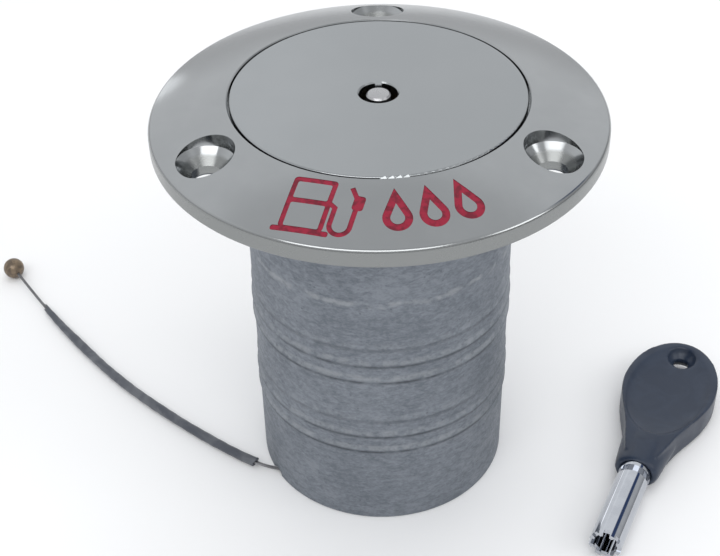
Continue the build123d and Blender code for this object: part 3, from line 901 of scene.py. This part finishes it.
@dataclass
class Leash:
    """Wire leash that hangs from the lug in the neck and lies on the floor to its ball, in metres."""

    route: tuple = (
        (-0.01715, -0.01246, -0.07230), (-0.01715, -0.01246, -0.07745), (-0.0247, -0.0123, -0.07685),
        (-0.0351, -0.0056, -0.07685), (-0.0474, 0.0040, -0.07685), (-0.0598, 0.0152, -0.07685),
        (-0.0713, 0.0284, -0.07685), (-0.0820, 0.0420, -0.07685), (-0.0919, 0.0557, -0.0755),
    )
    exit: tuple = (-0.0238, -0.0121, -0.0769)
    length: float = 0.107
    diameter: float = 0.0007
    curve_steps: int = 40
    strand_count: int = 6
    strand_sides: int = 7
    strand_row: float = 0.00035
    twist_length: float = 0.0046
    sleeve_radius: float = 0.00106
    sleeve_bore: float = 0.00045
    sleeve_sides: int = 28
    sleeve_row: float = 0.0004
    sleeve_inset: float = 0.0004
    tear_depth: float = 0.0011
    tear_teeth: float = 0.00035
    cut_slant: float = 0.00035
    flare_width: float = 0.00005
    taper_length: float = 0.016
    taper_end: float = 0.62
    ball_radius: float = 0.0025
    ball_sides: tuple = (48, 32)
    drill_angle: float = 11.5
    drill_depth: float = 0.0009
    lip_height: float = 0.00012
    lip_scale: tuple = (0.86, 0.86, 0.3)
    lip_round: float = 0.00004

    def thread(self) -> Thread:
        """Reads the leash's centre line from its smooth spline."""
        curve = bpy.data.curves.new("leash_line", "CURVE")
        curve.dimensions = "3D"
        curve.resolution_u = self.curve_steps
        spline = curve.splines.new("NURBS")
        spline.points.add(len(self.route) - 1)
        for point, place in zip(spline.points, self.route):
            point.co = (*place, 1.0)
        spline.order_u = 3
        spline.use_endpoint_u = True
        holder = bpy.data.objects.new("leash_line", curve)
        bpy.context.scene.collection.objects.link(holder)
        bpy.context.view_layer.update()
        mesh = bpy.data.meshes.new_from_object(holder)
        points = [vertex.co.copy() for vertex in mesh.vertices]
        bpy.data.objects.remove(holder)
        bpy.data.meshes.remove(mesh)
        return Thread(points)

    @staticmethod
    def skin(rows: int, sides: int, start: int = 0) -> list[tuple]:
        """Lists the faces between rings of points.

        Args:
            rows: Number of rings.
            sides: Points in each ring.
            start: Number of the first point.

        Returns:
            The faces.
        """
        faces = []
        for row in range(rows - 1):
            for step in range(sides):
                first = start + row * sides + step
                second = start + row * sides + (step + 1) % sides
                faces.append((first, second, second + sides, first + sides))
        return faces

    def wire(self, thread: Thread) -> Piece:
        """Lays a core and the strands twisted round it.

        Args:
            thread: The leash's centre line.

        Returns:
            The wire, as one mesh.
        """
        strand_radius = self.diameter / 6
        sides = self.strand_sides
        rows = round(thread.length / self.strand_row)
        points, faces = [], []
        for strand in range(self.strand_count + 1):
            start = len(points)
            off = 2 * strand_radius if strand < self.strand_count else 0.0
            for row in range(rows):
                distance = thread.length * row / (rows - 1)
                turn = FULL_TURN * (strand / self.strand_count + distance / self.twist_length)
                centre = thread.at(distance, turn, off)
                axis = thread.at(distance)
                for step in range(sides):
                    angle = FULL_TURN * step / sides
                    points.append(centre + thread.at(distance, angle, strand_radius) - axis)
            faces += self.skin(rows, sides, start)
            faces.append(tuple(reversed(range(start, start + sides))))
            faces.append(tuple(range(len(points) - sides, len(points))))
        return mesh_piece("leash_wire_strands", points, faces)

    def sleeve(self, thread: Thread) -> Piece:
        """Slips a soft tube over the wire: square cut near the neck, tapered and slit open near the ball.

        Args:
            thread: The leash's centre line.

        Returns:
            The sleeve.
        """
        low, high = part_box("leash_sleeve")
        first = thread.distance_where(0, high.x - self.sleeve_inset)
        last = thread.distance_where(0, low.x + self.sleeve_inset)
        rows, sides = round((last - first) / self.sleeve_row), self.sleeve_sides
        outer, inner = [], []
        for row in range(rows):
            share = row / (rows - 1)
            for step in range(sides):
                angle = FULL_TURN * step / sides
                ragged = self.tear_depth * (1 + math.cos(angle - 2.2)) + self.tear_teeth * math.sin(5 * angle)
                oblique = self.cut_slant * (1 + math.cos(angle - 0.6))
                distance = first + oblique + (last - ragged - first - oblique) * share
                along = (distance - first) / MM
                tapered = self.taper_end + (1 - self.taper_end) * (last - distance) / self.taper_length
                ripple = 0.000025 * math.sin(along * 1.7 + angle)
                ripple += 0.00002 * math.sin(along * 0.43 + 2 * angle)
                flare = self.flare_width * math.exp(-along / 0.6)
                radius = (self.sleeve_radius - self.flare_width) * min(1.0, tapered) + ripple + flare
                outer.append(thread.at(distance, angle, radius))
                inner.append(thread.at(distance, angle, self.sleeve_bore + flare))
        start = len(outer)
        faces = self.skin(rows, sides)
        faces += [tuple(reversed(face)) for face in self.skin(rows, sides, start)]
        tail = start - sides
        for step in range(sides):
            after = (step + 1) % sides
            faces.append((after, step, start + step, start + after))
            faces.append((tail + step, tail + after, start + tail + after, start + tail + step))
        return mesh_piece("leash_sleeve_tube", outer + inner, faces)

    def ball(self, thread: Thread) -> Piece:
        """Turns a drilled ball with a small swaged lip where the wire enters.

        Args:
            thread: The leash's centre line, which ends in the ball.

        Returns:
            The ball.
        """
        segments, rings = self.ball_sides
        bpy.ops.object.select_all(action="DESELECT")
        bpy.ops.mesh.primitive_uv_sphere_add(segments=segments, ring_count=rings, radius=self.ball_radius)
        piece = bpy.context.object
        piece.name = "leash_ball_drilled"
        with edit_mode(select="DESELECT"):
            bpy.ops.mesh.select_mode(type="FACE")
        mouth = math.cos(math.radians(self.drill_angle)) * self.ball_radius
        for face in piece.data.polygons:
            face.select = face.center.z > mouth
        bpy.ops.object.mode_set(mode="EDIT")
        bpy.ops.mesh.extrude_region_move(TRANSFORM_OT_translate={"value": (0, 0, self.lip_height)})
        bpy.ops.transform.resize(value=self.lip_scale)
        bpy.ops.mesh.extrude_region_move(TRANSFORM_OT_translate={"value": (0, 0, -self.drill_depth)})
        bpy.ops.object.mode_set(mode="OBJECT")
        apply_modifier(piece, "BEVEL", width=self.lip_round, segments=2, limit_method="ANGLE",
                       angle_limit=BALL_ANGLE)
        toward = -thread.heading(len(thread.points) - 1)
        turn = Vector((0, 0, 1)).rotation_difference(toward).to_matrix().to_4x4()
        piece.data.transform(Matrix.Translation(Vector(self.route[-1])) @ turn)
        bpy.ops.object.shade_smooth_by_angle(angle=BALL_ANGLE)
        return piece

    def build(self, wardrobe: Wardrobe) -> None:
        """Args:
            wardrobe: Gives the finishes.
        """
        thread = self.thread()
        wire, sleeve, ball = self.wire(thread), self.sleeve(thread), self.ball(thread)
        crimp = smoothed("leash_crimp")
        wardrobe.hand_over(wire, Finish.WIRE, "filler", "leash_wire")
        wardrobe.hand_over(sleeve, Finish.SLEEVE, "filler", "leash_sleeve")
        wardrobe.hand_over(ball, Finish.BALL, "filler", "leash_ball")
        wardrobe.hand_over(crimp, Finish.WIRE, "filler", "leash_crimp")
        log.info("leash line is %.1f mm long", thread.length / MM)


# ---- casting
@dataclass
class Casting:
    """Flange and hose neck in one casting, with the filled fuel mark."""

    finishes: dict = field(default_factory=lambda: {
        "filler_body": Finish.CASTING, "fuel_mark_inlay": Finish.ENAMEL,
    })

    def build(self, wardrobe: Wardrobe) -> None:
        """Dresses the casting and its mark."""
        wardrobe.finish_nodes("filler", self.finishes)


# ---- cap and lock
@dataclass
class Cap:
    """Flush lid with its seal, leash clip and the fixed half of the lock."""

    finishes: dict = field(default_factory=lambda: {
        "cap_lid": Finish.LID, "cap_seal_ring": Finish.SEAL, "lock_housing": Finish.BRASS,
        "pin_block": Finish.BRASS, "driver_pins": Finish.BRASS, "block_clip": Finish.WIRE,
    })
    rounded: tuple = (
        Rounded("housing_nut", Finish.BRASS, 0.25, "filed"), Rounded("leash_clip", Finish.STEEL, 0.18),
        Rounded("leash_clip_screw", Finish.STEEL, 0.12),
    )
    spring_count: int = 7
    spring_slots: int = 8
    spring_turns: int = 9
    spring_steps: int = 16
    spring_radius: float = 0.00036
    spring_wire: float = 0.00016
    spring_sides: int = 6
    pin_circle: float = 0.00285

    def coil(self, low: float, high: float) -> Piece:
        """Winds one compression spring about its own axis.

        Args:
            low: Height of its lower end.
            high: Height of its upper end.

        Returns:
            The spring, standing on the Z axis.
        """
        bpy.ops.object.select_all(action="DESELECT")
        start = (self.spring_radius, 0, low + self.spring_wire / 2)
        bpy.ops.mesh.primitive_circle_add(vertices=self.spring_sides, radius=self.spring_wire / 2,
                                          fill_type="NOTHING", location=start, rotation=(math.pi / 2, 0, 0))
        piece = bpy.context.object
        bpy.ops.object.transform_apply(location=True, rotation=True, scale=True)
        pitch = (high - low - self.spring_wire) / self.spring_turns
        apply_modifier(piece, "SCREW", angle=FULL_TURN, screw_offset=pitch, iterations=self.spring_turns,
                       steps=self.spring_steps, render_steps=self.spring_steps, use_merge_vertices=True,
                       merge_threshold=MM / 1000)
        with edit_mode():
            bpy.ops.mesh.fill_holes(sides=self.spring_sides)
            bpy.ops.mesh.normals_make_consistent(inside=False)
        return piece

    def springs(self) -> Piece:
        """Puts a coil spring under each driver pin, in every slot but the drive rib's.

        Returns:
            The springs, as one piece.
        """
        low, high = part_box("pin_springs")
        first = self.coil(low.z, high.z)
        copies = []
        for index in range(self.spring_count):
            angle = math.pi + FULL_TURN * (index + 1) / self.spring_slots
            place = Vector((math.cos(angle), math.sin(angle), 0)) * self.pin_circle
            copy = first.copy()
            copy.data = first.data.copy()
            copy.data.transform(Matrix.Translation(place))
            bpy.context.scene.collection.objects.link(copy)
            copies.append(copy)
        bpy.data.objects.remove(first)
        only(copies[0])
        for copy in copies:
            copy.select_set(True)
        bpy.ops.object.join()
        piece = bpy.context.object
        piece.name = "pin_springs_coiled"
        bpy.ops.object.shade_smooth()
        return piece

    def build(self, wardrobe: Wardrobe) -> None:
        """Builds and dresses the cap's pieces."""
        wardrobe.finish_nodes("cap", self.finishes, self.rounded)
        wardrobe.hand_over(self.springs(), Finish.WIRE, "cap", "pin_springs")


@dataclass
class Rotor:
    """Turning half of the lock, with the latch bar on its end."""

    finishes: dict = field(default_factory=lambda: {
        "lock_rotor": Finish.ROTOR, "key_pins": Finish.BRASS, "rotor_seal": Finish.SEAL,
    })
    rounded: tuple = (
        Rounded("latch_bar", Finish.STEEL, 0.25, "filed"), Rounded("latch_washer", Finish.STEEL, 0.1),
        Rounded("latch_screw", Finish.STEEL, 0.15),
    )

    def build(self, wardrobe: Wardrobe) -> None:
        """Builds and dresses the rotor's pieces."""
        wardrobe.finish_nodes("rotor", self.finishes, self.rounded)


# ---- key
@dataclass
class Key:
    """Loose key: a moulded head on a slit, plated tube."""

    voxel: float = 0.00024
    smoothing: int = 14

    def head(self) -> Piece:
        """Rounds the moulded head's edges as a mould's radii do.

        Returns:
            The head.
        """
        piece = copy_of("key_head", "key_head_moulded")
        apply_modifier(piece, "REMESH", mode="VOXEL", voxel_size=self.voxel)
        apply_modifier(piece, "SMOOTH", factor=0.5, iterations=self.smoothing)
        bpy.ops.object.shade_smooth()
        return piece

    def build(self, wardrobe: Wardrobe) -> None:
        """Builds and dresses the key."""
        wardrobe.hand_over(self.head(), Finish.KEY, "key", "key_head")
        wardrobe.finish_nodes("key", {"key_shank": Finish.CHROME})


# ---- studio
@dataclass(frozen=True)
class Patch:
    """Round patch of the room: bearing from +Y towards +X, height, radius and soft edge, all in degrees."""

    bearing: float
    height: float
    reach: float
    soft: float


@dataclass(frozen=True)
class SoftLight:
    """Rectangular light: its place, its two sides, its watts and whether polished metal shows it."""

    name: str
    place: tuple
    size: tuple
    power: float
    mirrored: bool = True


@dataclass
class Studio:
    """Pale floor, soft lights, a bright room and the camera.

    Distances are in metres and turns in degrees. A fade holds where it starts and ends, and its two levels.
    """

    sensor: float = 36.0
    lens: float = 68.93
    back: float = 0.21538
    rise: float = 0.12943
    look_down: float = 38.664
    swing: float = 1.098
    roll: float = -1.37
    floor_colour: tuple = (0.93, 0.93, 0.935, 1)
    white: tuple = (0.97, 0.985, 1.0, 1)
    navy: tuple = (0.10, 0.16, 0.34, 1)
    ceiling_fade: tuple = (math.sin(math.radians(50)), math.sin(math.radians(60)), 1.0, 0.8)
    horizon_fade: tuple = (0.05, 0.34, 0.7, 1.0)
    near_fade: tuple = (-0.7, 0.3, 0.72, 1.0)
    right_fade: tuple = (0.60, 0.78, 1.0, 0.6)
    glow: Patch = Patch(-8, 31, 2, 5)
    glow_level: float = 0.12
    lamp: Patch = Patch(-25, 9, 3, 2)
    lamp_level: float = 0.9
    blind: Patch = Patch(59, 40, 7, 3)
    blind_level: float = 0.5
    aim: tuple = (0, 0, -0.03)
    lights: tuple = (
        SoftLight("front_key", (-0.15, -0.95, 1.15), (1.7, 0.6), 8.0),
        SoftLight("right_fill", (1.1, -0.4, 0.7), (0.6, 0.5), 2.5),
        SoftLight("overhead", (0.0, 0.2, 1.5), (1.2, 1.2), 3.5, mirrored=False),
    )

    def camera(self) -> None:
        """Sets the camera in front of and above the cap."""
        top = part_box("cap_lid")[1].z
        data = bpy.data.cameras.new("camera")
        data.sensor_width = self.sensor
        data.lens = self.lens
        data.clip_start = 0.01
        camera = bpy.data.objects.new("camera", data)
        bpy.context.scene.collection.objects.link(camera)
        turn = Matrix.Rotation(math.radians(self.swing), 4, "Z")
        turn = turn @ Matrix.Rotation(math.radians(90 - self.look_down), 4, "X")
        turn = turn @ Matrix.Rotation(math.radians(self.roll), 4, "Z")
        camera.matrix_world = Matrix.Translation((0, -self.back, top + self.rise)) @ turn
        bpy.context.scene.camera = camera

    def floor(self) -> None:
        """Lays the floor under the neck."""
        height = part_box("filler_body")[0].z
        bpy.ops.object.select_all(action="DESELECT")
        bpy.ops.mesh.primitive_plane_add(size=6, location=(0, 0, height))
        floor = bpy.context.object
        floor.name = "floor"
        material, _, shader = new_material("floor")
        shader.inputs["Base Color"].default_value = self.floor_colour
        shader.inputs["Roughness"].default_value = 0.6
        floor.data.materials.append(material)

    def light(self, light: SoftLight) -> None:
        """Adds a soft light that faces the object.

        Args:
            light: The light.
        """
        data = bpy.data.lights.new(light.name, "AREA")
        data.shape = "RECTANGLE"
        data.size, data.size_y = light.size
        data.energy = light.power
        lamp = bpy.data.objects.new(light.name, data)
        bpy.context.scene.collection.objects.link(lamp)
        lamp.location = light.place
        lamp.visible_glossy = light.mirrored
        toward = Vector(self.aim) - Vector(light.place)
        lamp.rotation_euler = toward.to_track_quat("-Z", "Y").to_euler()

    @staticmethod
    def mask(canvas: Canvas, direction: Socket, patch: Patch) -> Socket:
        """Masks a round patch of the room.

        Args:
            canvas: Canvas of the room.
            direction: The direction that is looked in.
            patch: The patch.

        Returns:
            The mask's socket.
        """
        turn, rise = math.radians(patch.bearing), math.radians(patch.height)
        toward = (math.sin(turn) * math.cos(rise), math.cos(turn) * math.cos(rise), math.sin(rise))
        nearness = canvas.add("VectorMath", {0: direction, 1: toward}, operation="DOT_PRODUCT")
        outside = math.cos(math.radians(patch.reach + patch.soft))
        return canvas.span(nearness.outputs["Value"], outside, math.cos(math.radians(patch.reach)))

    def room(self) -> None:
        """Surrounds the scene with a bright room: dimmer ceiling, soft glow, lamp and window blind."""
        world = bpy.data.worlds.new("room")
        bpy.context.scene.world = world
        world.use_nodes = True
        canvas = Canvas(world.node_tree)
        direction = canvas.add("TexCoord").outputs["Generated"]
        across, along, up = canvas.axes(direction)
        strength = canvas.span(up, *self.ceiling_fade)
        for axis, fade in ((up, self.horizon_fade), (along, self.near_fade), (across, self.right_fade)):
            strength = canvas.calc("MULTIPLY", strength, canvas.span(axis, *fade))
        for patch, level in ((self.glow, self.glow_level), (self.lamp, self.lamp_level)):
            strength = canvas.calc("MULTIPLY_ADD", self.mask(canvas, direction, patch), level, strength)
        blind = self.mask(canvas, direction, self.blind)
        strength = canvas.between(blind, strength, self.blind_level)
        background = world.node_tree.nodes["Background"]
        canvas.feed(background.inputs["Color"], canvas.blend(blind, self.white, self.navy))
        canvas.feed(background.inputs["Strength"], strength)

    def build(self) -> None:
        """Builds the studio."""
        self.camera()
        self.floor()
        self.room()
        for light in self.lights:
            self.light(light)
        bpy.context.scene.view_settings.view_transform = "Standard"


def main() -> None:
    """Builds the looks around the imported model."""
    logging.basicConfig(level=logging.INFO, format="%(name)s: %(message)s")
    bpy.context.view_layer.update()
    Studio().build()
    wardrobe = Wardrobe()
    for assembly in (Leash(), Casting(), Cap(), Rotor(), Key()):
        assembly.build(wardrobe)


if __name__ == "__main__":
    main()
